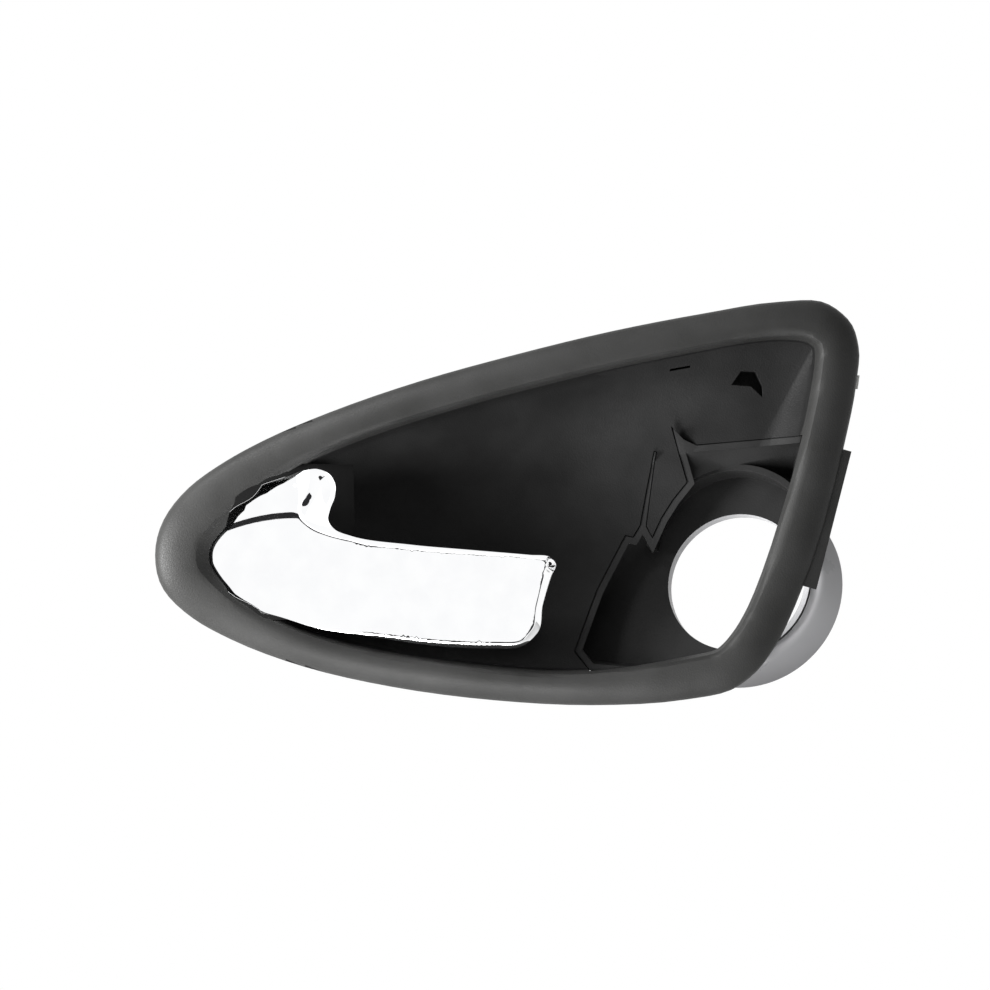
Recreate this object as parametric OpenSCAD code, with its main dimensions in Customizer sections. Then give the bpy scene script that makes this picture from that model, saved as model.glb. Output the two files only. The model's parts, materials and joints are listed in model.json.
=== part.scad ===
// Interior pull handle of a car's right-hand door: a grained surround with its finger bowl,
// a chromed lever on an upright hinge pin, and a tilted speaker cup behind the tail.
// X runs from nose to tail, Y into the door, Z up. Y = 0 is the plane that seats on the door trim.
// The origin is the mouth of the lower fixing boss.

/* [Surround] */
// Length of the surround from nose to tail
surround_l = 235; // [215:1:255]
// Height of the surround
surround_h = 135.4; // [124:0.2:148]
// Height of the ring in front of the seating plane
ring_h = 8.4; // [7.4:0.1:9.6]
// Width of the ring at the nose
ring_w_nose = 15; // [13.5:0.1:16.5]
// Width of the ring along the top
ring_w_top = 11; // [9.5:0.1:12.5]
// Width of the ring at the tail
ring_w_tail = 13.3; // [11.5:0.1:15]
// Width of the ring along the bottom
ring_w_low = 10; // [9:0.1:12]
// Overhang of the lip over the lever's nose
lip_over = 3; // [2.4:0.1:3.6]
// Wall of the mouldings
wall = 2.2; // [1.8:0.1:2.6]
// How far the edge tab stands out of the tail
tab_out = 2.7; // [2:0.1:3.4]
// Depth of the edge tab behind the seating plane
tab_d = 5; // [3.5:0.5:6.5]

/* [Bowl] */
// Depth of the steep wall behind the lip
bowl_wall_d = 4; // [3:0.1:5]
// Depth of the bowl behind the hinge
bowl_nose_d = 13; // [11:0.5:14]
// Depth of the bowl behind the fingers
bowl_mid_d = 26; // [22:0.5:30]
// Depth of the bowl beside the speaker
bowl_tail_d = 14; // [12:0.5:16]

/* [Speaker cup] */
// Radius of the speaker hole
hole_r = 23.9; // [20:0.1:25.5]
// Length of the speaker hole's collar
collar_l = 4; // [3:0.1:6]
// Inner radius of the recess in front of the hole
recess_r = 27.8; // [26.8:0.1:29]
// Outer radius of the rim at the back
cup_rim_r = 34.5; // [32:0.1:38]
// Length of the flare behind the front plate
cup_l = 10.5; // [8:0.5:14]
// Tilt of the cup in degrees
cup_tilt = 26; // [22:0.5:29]
// Depth of the middle of the hole
cup_d = 17; // [15:0.5:19]

/* [Lever] */
// Reach of the lever from the hinge axis to its free end
lever_reach = 98.1; // [88:0.1:108]
// Distance from the hinge axis to the lever's nose
lever_nose = 18.8; // [17.5:0.1:20]
// Height of the lever, from the horn's top to the pull's lower edge, as a share of the surround's
lever_rise = 0.443; // [0.4:0.001:0.453]
// How far the pull's face stands in front of the seating plane
lever_proud = 7.6; // [7:0.1:8.4]
// Wall of the lever's shell
lever_wall = 2; // [1.6:0.1:2.4]
// Travel of the lever in degrees
lever_travel = 30; // [22:1:30]

/* [Hinge] */
// Depth of the hinge axis
hinge_d = 4.2; // [3.8:0.1:4.8]
// Radius of the hinge pin
pin_r = 2; // [1.6:0.1:2.3]
// Radius of the hub's barrels
hub_r = 4.4; // [4:0.1:4.8]
// Height between the two ears
ear_gap = 18.3; // [17.5:0.1:19]
// Thickness of an ear
ear_t = 2.6; // [2.2:0.1:3]
// Thickness of a hinge washer
washer_t = 0.6; // [0.5:0.1:0.8]
// Distance from the hinge axis to the cable nipple
crank_l = 28; // [27:0.5:31]
// Thickness of the crank
crank_t = 6; // [5:0.5:6.5]
// Radius of the cable nipple's seat
nipple_r = 2.1; // [1.6:0.1:2.5]
// Radius of the seat of the cable's sheath
sheath_r = 2.2; // [1.6:0.1:2.4]
// Thickness of the hinge bracket's plate
bracket_t = 2.4; // [2:0.1:3]
// Radius of a bumper
bumper_r = 2.5; // [2.2:0.1:2.9]

/* [Return spring] */
// Diameter of the spring wire
wire_d = 1.2; // [1:0.1:1.3]
// Number of turns
turns = 4; // [3:1:4]

/* [Fasteners] */
// Radius of a fixing boss
boss_r = 3.2; // [2.9:0.1:3.5]
// Radius of a screw's thread
screw_r = 1.5; // [1.2:0.1:1.7]
// Radius of a screw's head
head_r = 2.9; // [2.5:0.1:3.2]
// Depth of the lower fixing boss's bore
boss_bore_d = 5; // [4.4:0.1:5.1]

/* [Hidden] */
BLACK = [0.13, 0.13, 0.14];
NYLON = [0.2, 0.2, 0.21];
PALE = [0.8, 0.8, 0.78];
CHROME = [0.85, 0.86, 0.88];
ZINC = [0.62, 0.63, 0.66];
RUBBER = [0.08, 0.08, 0.08];
// Gap between pieces that are fitted to each other, and of a running pin
fit = 0.3;
run = 0.05;
seat = 0.05;
far = 200;
lever_h = lever_rise * surround_h;

// Fractions of the surround's length and height, clockwise from the nose, then the ring's width there
// and how far its lip hangs over
LIP_PLAIN = 0.5;
SURROUND = [
    [0.000, 0.370, ring_w_nose, lip_over], [0.012, 0.457, ring_w_nose, lip_over],
    [0.048, 0.537, ring_w_nose, lip_over], [0.100, 0.602, ring_w_nose - 1, lip_over],
    [0.154, 0.653, ring_w_top + 1, LIP_PLAIN], [0.247, 0.722, ring_w_top, LIP_PLAIN],
    [0.377, 0.800, ring_w_top, LIP_PLAIN], [0.512, 0.865, ring_w_top, LIP_PLAIN],
    [0.647, 0.922, ring_w_top, LIP_PLAIN], [0.781, 0.967, ring_w_top, LIP_PLAIN],
    [0.885, 0.995, ring_w_top, LIP_PLAIN], [0.945, 0.996, ring_w_tail, LIP_PLAIN],
    [0.983, 0.953, ring_w_tail, LIP_PLAIN], [0.999, 0.883, ring_w_tail, LIP_PLAIN],
    [0.996, 0.798, ring_w_tail, LIP_PLAIN], [0.979, 0.645, ring_w_tail, LIP_PLAIN],
    [0.909, 0.246, ring_w_tail, LIP_PLAIN], [0.882, 0.150, ring_w_tail, LIP_PLAIN],
    [0.843, 0.066, ring_w_tail, LIP_PLAIN], [0.817, 0.037, ring_w_tail, LIP_PLAIN],
    [0.754, 0.014, ring_w_tail, LIP_PLAIN], [0.621, 0.000, ring_w_low, LIP_PLAIN],
    [0.482, 0.012, ring_w_low, LIP_PLAIN], [0.337, 0.045, ring_w_low, LIP_PLAIN],
    [0.213, 0.094, ring_w_low, LIP_PLAIN], [0.108, 0.162, ring_w_low + 2, LIP_PLAIN],
    [0.054, 0.214, ring_w_nose - 1, 0.6 * lip_over], [0.012, 0.285, ring_w_nose, lip_over]];
// Window in the bowl that the speaker cup fills, in the same fractions
WINDOW = [
    [0.737, 0.691], [0.756, 0.659], [0.774, 0.645], [0.937, 0.669], [0.891, 0.309], [0.848, 0.161],
    [0.805, 0.102], [0.703, 0.070], [0.618, 0.082], [0.596, 0.129], [0.630, 0.280], [0.672, 0.418],
    [0.683, 0.413], [0.693, 0.443], [0.713, 0.630], [0.717, 0.627], [0.703, 0.440], [0.711, 0.414],
    [0.723, 0.460], [0.740, 0.507], [0.760, 0.551]];
// The origin, in the same fractions
ORIGIN = [0.575, 0.0524];
nose_x = -ORIGIN[0] * surround_l;
low_z = -ORIGIN[1] * surround_h;
function place(u, v) = [nose_x + u * surround_l, low_z + v * surround_h];

function lerp(a, b, t) = a + (b - a) * t;
function smooth(x) = let (t = min(1, max(0, x))) t * t * (3 - 2 * t);
function wrap(p, i) = p[(i + len(p)) % len(p)];
function chord(a, b) = norm([a[0] - b[0], a[1] - b[1]]);
// Closed curve through anchors, with tangents weighted by chord length
function tangent(p, i) =
    let (a = wrap(p, i - 1), b = wrap(p, i), c = wrap(p, i + 1), d0 = chord(a, b), d1 = chord(b, c))
    ((c - b) / d1 * d0 + (b - a) / d0 * d1) / (d0 + d1);
function curve(p, i, t) =
    let (a = wrap(p, i), b = wrap(p, i + 1), d = chord(a, b), m0 = tangent(p, i), m1 = tangent(p, i + 1))
    a * (2 * t * t * t - 3 * t * t + 1) + m0 * d * (t * t * t - 2 * t * t + t)
    + b * (3 * t * t - 2 * t * t * t) + m1 * d * (t * t * t - t * t);
function closed_curve(p, steps) = [for (i = [0:len(p) - 1]) for (k = [0:steps - 1]) curve(p, i, k / steps)];
// Unit normals that point inward on a clockwise curve
function normals(p) = [for (i = [0:len(p) - 1])
    let (d = wrap(p, i + 1) - wrap(p, i - 1), l = norm([d[0], d[1]])) [d[1] / l, -d[0] / l]];
// Running average over a closed ring of points, which rounds its tight corners
function soften(p, m) = [for (i = [0:len(p) - 1])
    [for (k = [-m:m]) 1 / (2 * m + 1)] * [for (k = [-m:m]) wrap(p, i + k)]];

// Faces between two rings of n points, and between a ring and a spine that both its sides share
function band(n, a, b) = [for (i = [0:n - 1]) let (j = (i + 1) % n)
    each [[a + i, b + j, b + i], [a + i, a + j, b + j]]];
function spine_band(n, a, b, k) = [for (i = [0:n - 1]) let (j = (i + 1) % n)
    each concat([[a + i, a + j, b + k[i]]], k[i] == k[j] ? [] : [[a + j, b + k[j], b + k[i]]])];
function flip(faces) = [for (f = faces) [f[2], f[1], f[0]]];

// A shell from rings that run from its rear edge over the front to a spine, and back again
module ring_shell(front, front_spine, back, back_spine, k) {
    n = len(front[0]);
    m = len(front);
    rings = concat(front, back);
    points = concat([for (r = rings) each r], front_spine, back_spine);
    spine_at = len(rings) * n;
    faces = concat(
        [for (r = [0:m - 2]) each band(n, r * n, (r + 1) * n)],
        spine_band(n, (m - 1) * n, spine_at, k),
        flip([for (r = [0:len(back) - 2]) each band(n, (m + r) * n, (m + r + 1) * n)]),
        flip(spine_band(n, (m + len(back) - 1) * n, spine_at + len(front_spine), k)),
        flip(band(n, 0, m * n)));
    polyhedron(points, faces);
}

// Solids that are drawn in the plane of the door and grow along Y, and round ones along Z and Y
module prism(y0, y1) { translate([0, y1, 0]) rotate([90, 0, 0]) linear_extrude(y1 - y0) children(); }
module post_y(x, z, y0, y1, r) {
    translate([x, y1, z]) rotate([90, 0, 0]) cylinder(r = r, h = y1 - y0, $fn = 48);
}
module post_z(x, y, z0, z1, r) { translate([x, y, z0]) cylinder(r = r, h = z1 - z0, $fn = 48); }
module block(x0, x1, y0, y1, z0, z1) { translate([x0, y0, z0]) cube([x1 - x0, y1 - y0, z1 - z0]); }

// The surround's outer edge with the ring's width and lip along it, and its inward normals
rim = [for (q = closed_curve(SURROUND, 4)) let (p = place(q[0], q[1])) [p[0], p[1], q[2], q[3]]];
rim_n = normals(rim);
function on_rim(i, d, y) = [rim[i][0] + rim_n[i][0] * d, y, rim[i][1] + rim_n[i][1] * d];

// Ring section as distance in from the outer edge and height
ring_draft = 1.6;
function ring_face(w) = [[0, 0], [0.15, -0.3 * ring_h], [1, -0.56 * ring_h], [3, -0.75 * ring_h],
    [w * 0.5, -0.92 * ring_h], [w - 2.4, -ring_h], [w - 0.7, -0.96 * ring_h]];
function ring_lip(w, e) = [[w + 0.3, -0.8 * ring_h], [w + e, -0.6 * ring_h], [w + e + 0.2, -0.45 * ring_h],
    [w + 0.5 + 0.8 * e, -0.34 * ring_h], [w + 1, -0.28 * ring_h], [w + 1.2, 0],
    [w + ring_draft, bowl_wall_d]];
function ring_back(w) = [[wall, 0], [wall, -0.3 * ring_h], [3.4, -0.75 * ring_h + wall],
    [w - 3.4, -ring_h + wall], [w - wall, -0.4 * ring_h], [w + 1.2 - wall, 0],
    [w + ring_draft - wall, bowl_wall_d + 0.5]];

// The bowl's spine runs along its middle, in stations
SPINE_STEPS = 14;
ROOM_D = 20;
spine_a = place(0.14, 0.383);
spine_b = place(0.838, 0.556);
BOWL_S = [0.06, 0.14, 0.25, 0.38, 0.54, 0.74];
function along(x) = min(1, max(0, (x - spine_a[0]) / (spine_b[0] - spine_a[0])));
function bowl_depth(x) = let (u = (x - nose_x) / surround_l)
    bowl_nose_d + (bowl_mid_d - bowl_nose_d) * smooth((u - 0.12) / 0.3)
    - (bowl_mid_d - bowl_tail_d) * smooth((u - 0.6) / 0.26);
bowl_edge = soften([for (i = [0:len(rim) - 1]) on_rim(i, rim[i][2] + ring_draft, 0)], 2);
function bowl_point(i, s, t) =
    let (p = bowl_edge[i], q = lerp(spine_a, spine_b, along(p[0])), turn = min(90, s * 300),
        x = lerp(p[0], q[0], s), z = lerp(p[2], q[1], s),
        y = lerp(bowl_wall_d, bowl_depth(x), 1 - pow(1 - s, 2.2)))
    [x - rim_n[i][0] * t * cos(turn), y + t * sin(turn), z - rim_n[i][1] * t * cos(turn)];
function bowl_spine(t) = [for (k = [0:SPINE_STEPS]) let (q = lerp(spine_a, spine_b, k / SPINE_STEPS))
    [q[0], bowl_depth(q[0]) + t, q[1]]];

module surround_shell() {
    last = len(rim) - 1;
    ks = [for (i = [0:last]) round(along(bowl_edge[i][0]) * SPINE_STEPS)];
    front = concat(
        [for (j = [0:6]) [for (i = [0:last]) let (q = ring_face(rim[i][2])[j]) on_rim(i, q[0], q[1])]],
        [for (j = [0:6]) soften([for (i = [0:last])
            let (q = ring_lip(rim[i][2], rim[i][3])[j]) on_rim(i, q[0], q[1])], 2)],
        [for (s = BOWL_S) [for (i = [0:last]) bowl_point(i, s, 0)]]);
    back = concat(
        [for (j = [0:3]) [for (i = [0:last]) let (q = ring_back(rim[i][2])[j]) on_rim(i, q[0], q[1])]],
        [for (j = [4:6]) soften([for (i = [0:last])
            let (q = ring_back(rim[i][2])[j]) on_rim(i, q[0], q[1])], 2)],
        [for (s = BOWL_S) [for (i = [0:last]) bowl_point(i, s, wall)]]);
    ring_shell(front, bowl_spine(0), back, bowl_spine(wall), ks);
}

// All that lies in front of the bowl, grown by t behind its front face
module bowl_room(t) {
    last = len(rim) - 1;
    ks = [for (i = [0:last]) round(along(bowl_edge[i][0]) * SPINE_STEPS)];
    front = [for (s = [0, 0.5]) [for (i = [0:last]) let (p = bowl_point(i, s, 0)) [p[0], -ROOM_D, p[2]]]];
    back = [for (s = concat([0], BOWL_S)) [for (i = [0:last]) bowl_point(i, s, t)]];
    ring_shell(front, [for (q = bowl_spine(0)) [q[0], -ROOM_D, q[2]]], back, bowl_spine(t), ks);
}

// Hinge axis of the lever, and how far its nose tucks under the lip
LIP_TUCK = 1.2;
pivot_x = nose_x + ring_w_nose + lip_over - LIP_TUCK + lever_nose;
pivot_z = place(0, 0.368)[1];
pocket_r = lever_nose + 0.9;
pocket_back = 0.305 * lever_reach;
lip_under = -0.28 * ring_h - 0.3;
bracket_y = bowl_nose_d + 11;

// Fixing bosses: lower, upper and rear, and the screw places of the bracket and the cup
FIX = [[0, 0], place(0.42, 0.772), place(0.962, 0.86)];
FIX_SEAT = [0, 0.4, 0.8];
FIX_FLOOR = [-boss_bore_d, 0.3 - boss_bore_d, 0.6 - boss_bore_d];
HINGE_SCREWS = [[pivot_x - pocket_r - boss_r - 1, pivot_z + 8],
    [pivot_x + 8, pivot_z + 0.5 * lever_h + 3.2],
    [pivot_x + 8, pivot_z - 0.5 * lever_h + 1.7]];
CUP_SCREWS = [place(0.823, 0.733), place(0.942, 0.58), place(0.689, 0.05)];
boss_front = -0.62 * ring_h;
cup_boss_front = [bowl_tail_d - 1.2, boss_front, boss_front];
lug_y = cup_d + 5;
// Panel clips: share of the ring's width and the turn from the ring's own direction
CLIP_RIM = [56, 32, 92, 84];
CLIP_IN = [0.27, 0.5, 0.5, 0.5];
CLIP_TURNS = [90, 0, 0, 0];
module at_clip(i) {
    r = CLIP_RIM[i];
    p = on_rim(r, rim[r][2] * CLIP_IN[i], 0);
    translate(p) rotate([0, CLIP_TURNS[i] - atan2(-rim_n[r][0], rim_n[r][1]), 0]) children();
}

module window(grow) { offset(delta = grow) polygon([for (q = WINDOW) place(q[0], q[1])]); }

module edge_tab() {
    a = place(0.979, 0.63);
    b = place(0.925, 0.292);
    d = b - a;
    n = [-d[1], d[0]] / norm(d);
    prism(-2, tab_d) polygon([a + n * (tab_out - 0.4), b + n * (tab_out + 0.6), b - n * 3.2, a - n * 3.6]);
}

// Blind openings of the grille's catches, seen in the tail of the bowl
CATCH_D = 16;
CATCH_WALL = 1.4;
module catch_outline() {
    polygon([place(0.822, 0.793), place(0.835, 0.826), place(0.856, 0.825), place(0.866, 0.79),
        place(0.867, 0.762), place(0.85, 0.789)]);
    polygon([place(0.733, 0.831), place(0.762, 0.84), place(0.762, 0.835), place(0.733, 0.826)]);
}
module catch_backs() {
    difference() {
        prism(bowl_wall_d, CATCH_D + CATCH_WALL) offset(delta = CATCH_WALL) catch_outline();
        bowl_room(wall / 2);
    }
}

// Room that the lever's nose and flanks sweep round the hinge axis, and the opening behind them
sweep_r = 0.79 * lever_nose;
flank_r = 0.6 * lever_nose;
HORN_ROOM = 0.9;
module hinge_pocket() {
    translate([pivot_x, hinge_d, pivot_z]) rotate_extrude($fn = 96) polygon([
        [0, -0.36 * lever_h], [flank_r, -0.36 * lever_h], [flank_r, -0.28 * lever_h],
        [sweep_r, -0.21 * lever_h],
        [sweep_r, 0.33 * lever_h], [flank_r + HORN_ROOM, 0.4 * lever_h],
        [flank_r + HORN_ROOM, 0.47 * lever_h],
        [0, 0.47 * lever_h]]);
    difference() {
        union() {
            post_z(pivot_x, hinge_d, pivot_z - 0.325 * lever_h, pivot_z + 0.45 * lever_h, pocket_r);
            block(pivot_x, pivot_x + pocket_back, lip_under, 60, pivot_z - 0.325 * lever_h,
                pivot_z + 0.5 * lever_h + 0.8);
        }
        block(pivot_x - far, pivot_x + far, -far, lip_under, pivot_z - far, pivot_z + far);
    }
}

module housing() {
    color(BLACK) difference() {
        union() {
            difference() {
                surround_shell();
                prism(-2, 60) window(0);
                hinge_pocket();
            }
            catch_backs();
            edge_tab();
            for (i = [0:2]) post_y(FIX[i][0], FIX[i][1], boss_front, FIX_SEAT[i], boss_r);
            for (p = HINGE_SCREWS) post_y(p[0], p[1], boss_front, bracket_y, boss_r);
            for (i = [0:2]) post_y(CUP_SCREWS[i][0], CUP_SCREWS[i][1], cup_boss_front[i], lug_y, boss_r);
            for (i = [0:3]) at_clip(i) block(-1, 1, boss_front, 7, -2.6, 2.6);
        }
        prism(-2, CATCH_D) catch_outline();
        for (i = [0:2]) post_y(FIX[i][0], FIX[i][1], FIX_FLOOR[i], 2, screw_r);
        for (p = HINGE_SCREWS) post_y(p[0], p[1], bracket_y - 9, bracket_y + 1, screw_r);
        for (p = CUP_SCREWS) post_y(p[0], p[1], lug_y - 9, lug_y + 1, screw_r);
    }
}

// Speaker cup: its own frame has the hole's middle at the origin and the hole's axis along Z
hole = place(0.831, 0.301);
CUP_TURN = 42;
RECESS_UP = 9.4;
HOLE_CLEAR = 1.5;
module cup_frame() {
    translate([hole[0], cup_d, hole[1]])
        rotate(a = cup_tilt, v = [-sin(CUP_TURN), 0, -cos(CUP_TURN)]) rotate([90, 0, 0]) children();
}
// Skirt in the bowl's window, and the flange behind the window's edge
FLANGE_T = 1.6;
FLANGE_OUT = 2.2;
SKIRT_INSET = 0.5;
FLANGE_Y = 7.5;
SKIRT_D = 31;
module skirt() {
    difference() {
        intersection() {
            prism(2, SKIRT_D) window(-fit);
            cup_frame() block(-far, far, -far, far, -wall, far);
        }
        prism(1, SKIRT_D + 1) window(-fit - wall);
        bowl_room(SKIRT_INSET);
    }
}
module skirt_flange() {
    difference() {
        intersection() {
            prism(FLANGE_Y, SKIRT_D) window(FLANGE_OUT);
            bowl_room(wall + fit + FLANGE_T);
        }
        prism(1, SKIRT_D + 1) window(-fit - wall);
        bowl_room(wall + fit);
        for (p = CUP_SCREWS) post_y(p[0], p[1], 0, SKIRT_D, boss_r + fit);
    }
}
module cup_lug(p, x0, x1, z0, z1) {
    post_y(p[0], p[1], lug_y + seat, lug_y + 2.4, boss_r + 0.6);
    block(x0, x1, lug_y + seat, lug_y + 2.4, z0, z1);
}
module speaker_cup() {
    top = place(0, 0.63)[1];
    tail = place(0.925, 0)[0];
    color(BLACK) difference() {
        union() {
            skirt();
            skirt_flange();
            // Front plate and the wall of the recess
            intersection() {
                prism(-4, 60) window(-fit);
                cup_frame() union() {
                    translate([0, 0, -wall]) linear_extrude(wall) polygon([[-8, 20], [-30, 20], [-38, 16],
                        [-56, -8], [-62, -26], [-58, -36], [-4, -40], [20, -30]]);
                    translate([0, 0, -wall]) cylinder(r = recess_r + wall, h = wall, $fn = 96);
                    translate([0, RECESS_UP, -wall]) cylinder(r = recess_r + wall, h = wall, $fn = 96);
                }
            }
            intersection() {
                prism(-4, 60) window(-fit);
                cup_frame() difference() {
                    translate([0, RECESS_UP, -wall]) cylinder(r = recess_r + wall, h = 10, $fn = 96);
                    translate([0, RECESS_UP, 0]) cylinder(r = recess_r, h = 20, $fn = 96);
                    translate([-60, -60, 0]) cube([120, 72, 20]);
                }
            }
            // Wall that slopes from the window's top edge to the recess
            intersection() {
                difference() {
                    prism(4, 60) window(-fit);
                    cup_frame() translate([0, RECESS_UP, -20])
                        cylinder(r = recess_r + wall / 2, h = 60, $fn = 96);
                }
                translate([0, bowl_tail_d - 0.5, place(0, 0.665)[1]]) rotate([38, 0, 0])
                    block(-far, far, 0, wall, -34, 4);
            }
            // Flaring wall, rim and collar
            cup_frame() {
                rotate_extrude($fn = 96) polygon([[hole_r + 1, fit - wall], [recess_r, fit - wall],
                    [recess_r + 1.6, -wall - 0.4], [recess_r + 2.6, -wall - 1.6], [cup_rim_r, -cup_l],
                    [cup_rim_r - wall, -cup_l], [recess_r, -2 * wall], [hole_r + 1, -2 * wall]]);
                translate([0, 0, -collar_l]) cylinder(r = hole_r + 1.8, h = collar_l, $fn = 96);
            }
            cup_lug(CUP_SCREWS[0], CUP_SCREWS[0][0] - 4, CUP_SCREWS[0][0] + 4, top, CUP_SCREWS[0][1]);
            cup_lug(CUP_SCREWS[1], tail - 3, CUP_SCREWS[1][0], CUP_SCREWS[1][1] - 4, CUP_SCREWS[1][1] + 4);
            // The lower lug runs up to the flare
            difference() {
                cup_lug(CUP_SCREWS[2], CUP_SCREWS[2][0] - 4, CUP_SCREWS[2][0] + 4, CUP_SCREWS[2][1], hole[1]);
                cup_frame() rotate_extrude($fn = 96) polygon([[0, 1], [recess_r + 2, 1], [recess_r + 2, -wall],
                    [cup_rim_r - wall / 2, -cup_l], [cup_rim_r - wall / 2, -far], [0, -far]]);
                cup_frame() block(-far, far, -far, far, -wall / 2, far);
            }
        }
        cup_frame() {
            translate([0, 0, -30]) cylinder(r = hole_r, h = 31, $fn = 96);
            cylinder(r = hole_r + HOLE_CLEAR, h = 30, $fn = 96);
        }
        for (p = CUP_SCREWS) post_y(p[0], p[1], lug_y - 1, lug_y + 5, screw_r + 0.2);
    }
}

// Lever outline from the hinge axis, clockwise from the nose. Across is a share of the reach, or of the
// nose where it is negative, and up is a share of the height. Then slope and width of the bevel.
LEVER = [
    [-1.00, -0.012, 1.0, 0.6], [-0.90, 0.110, 0.8, 0.7], [-0.56, 0.250, 0.8, 0.7], [-0.084, 0.358, 0.8, 0.7],
    [0.071, 0.437, 0.8, 0.7], [0.142, 0.478, 0.8, 1.0], [0.183, 0.488, 0.8, 1.6], [0.221, 0.468, 0.6, 3.4],
    [0.246, 0.417, 0.5, 6.0], [0.249, 0.333, 0.45, 9.0], [0.233, 0.257, 0.45, 9.8], [0.228, 0.200, 0.45, 8.2],
    [0.255, 0.145, 0.45, 5.2], [0.305, 0.115, 0.48, 3.4], [0.506, 0.067, 0.55, 1.9], [0.708, 0.038, 0.55, 1.6],
    [0.912, 0.010, 0.6, 1.6], [0.978, 0.000, 0.7, 2.2], [1.000, -0.040, 0.7, 2.6], [0.984, -0.112, 0.65, 2.5],
    [0.955, -0.278, 0.6, 2.2], [0.937, -0.428, 0.6, 2.2], [0.880, -0.503, 0.8, 1.5], [0.783, -0.512, 1.2, 0.9],
    [0.575, -0.495, 1.3, 0.8], [0.402, -0.453, 1.2, 0.7], [0.194, -0.403, 1.0, 0.7],
    [0.046, -0.332, 1.0, 0.7], [-0.56, -0.207, 1.0, 0.6], [-0.90, -0.108, 1.0, 0.6]];
LEVER_STEPS = 9;
LEVER_S = [0.2, 0.45, 0.72];
// Slope of the face toward the nose, its bow from top to bottom, and its fall above the ridge
NOSE_FALL = 0.1;
NOSE_SOFT = 20;
TIP_DROP = 1.35;
BOW_R = 400;
RIDGE_FALL = 0.12;
RIDGE_SOFT = 2.2;
edge = [for (q = closed_curve(LEVER, 3))
    [q[0] * (q[0] < 0 ? lever_nose : lever_reach), q[1] * lever_h, q[2], q[3]]];
edge_n = normals(edge);
lever_a = [-0.5 * lever_nose, 0.05 * lever_h];
lever_b = [0.856 * lever_reach, -0.233 * lever_h];
ridge_a = [-0.9 * lever_nose, 0.105 * lever_h];
ridge_b = [0.119 * lever_reach, 0.245 * lever_h];
face_mid = 0.435 * lever_reach;
bow_z = lever_h / 6;
function lever_along(x) = min(1, max(0, (x - lever_a[0]) / (lever_b[0] - lever_a[0])));
function above_ridge(x, z) = let (d = ridge_b - ridge_a)
    ((z - ridge_a[1]) * d[0] - (x - ridge_a[0]) * d[1]) / norm(d);
function soft_ramp(d, e) = (d + sqrt(d * d + e * e)) / 2;
function lever_face(x, z) =
    let (tip = max(0, (x - face_mid) / (lever_reach - face_mid)))
    NOSE_FALL * soft_ramp(face_mid - x, NOSE_SOFT) + TIP_DROP * tip * tip - lever_proud
    + pow(z + bow_z, 2) / (2 * BOW_R) + RIDGE_FALL * soft_ramp(above_ridge(x, z), RIDGE_SOFT);
LEVER_REAR = 3.5;
function lever_rear(x) = LEVER_REAR - 1.5 * smooth((x - 15) / 25);
function lever_point(i, inset, y) =
    [edge[i][0] + edge_n[i][0] * inset, y, edge[i][1] + edge_n[i][1] * inset];
function edge_y(i) = lever_face(edge[i][0], edge[i][1]) + edge[i][2] * edge[i][3];
function lever_inner(i, s, t) =
    let (w = edge[i][3] + t, px = edge[i][0] + edge_n[i][0] * w, pz = edge[i][1] + edge_n[i][1] * w,
        q = lerp(lever_a, lever_b, lever_along(px)), x = lerp(px, q[0], s), z = lerp(pz, q[1], s))
    [x, lever_face(x, z) + t, z];

module lever_shell() {
    last = len(edge) - 1;
    ks = [for (i = [0:last]) round(lever_along(edge[i][0]) * LEVER_STEPS)];
    front = concat([
        [for (i = [0:last]) lever_point(i, 0.3, lever_rear(edge[i][0]))],
        [for (i = [0:last]) lever_point(i, 0, edge_y(i) + 0.7)],
        [for (i = [0:last]) lever_point(i, 0.25, edge_y(i))],
        [for (i = [0:last]) lever_inner(i, 0, 0)]],
        [for (s = LEVER_S) [for (i = [0:last]) lever_inner(i, s, 0)]]);
    back = concat([
        [for (i = [0:last]) lever_point(i, lever_wall, lever_rear(edge[i][0]))],
        [for (i = [0:last]) lever_point(i, lever_wall, min(edge_y(i) + lever_wall, LEVER_REAR - 1.6))],
        [for (i = [0:last]) lever_inner(i, 0, lever_wall)]],
        [for (s = LEVER_S) [for (i = [0:last]) lever_inner(i, s, lever_wall)]]);
    spine = [for (k = [0:LEVER_STEPS]) lerp(lever_a, lever_b, k / LEVER_STEPS)];
    ring_shell(front, [for (q = spine) [q[0], lever_face(q[0], q[1]), q[1]]],
        back, [for (q = spine) [q[0], lever_face(q[0], q[1]) + lever_wall, q[1]]], ks);
}

// Pad that carries the lever on its hub, and its two screws, from the hinge axis
pad_y = -0.9;
pad_t = 3;
// How far these screws bite into the lever
HUB_BITE = 2.2;
pad_top = -2;
HUB_SCREWS = [[15, -8], [28, -9]];
module lever() {
    color(CHROME) translate([pivot_x, 0, pivot_z]) difference() {
        union() {
            lever_shell();
            for (p = HUB_SCREWS) post_y(p[0], p[1], lever_face(p[0], p[1]) + 1, pad_y - seat, 2.8);
        }
        for (p = HUB_SCREWS) post_y(p[0], p[1], pad_y - HUB_BITE - 0.3, pad_y + 1, screw_r);
    }
}

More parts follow.
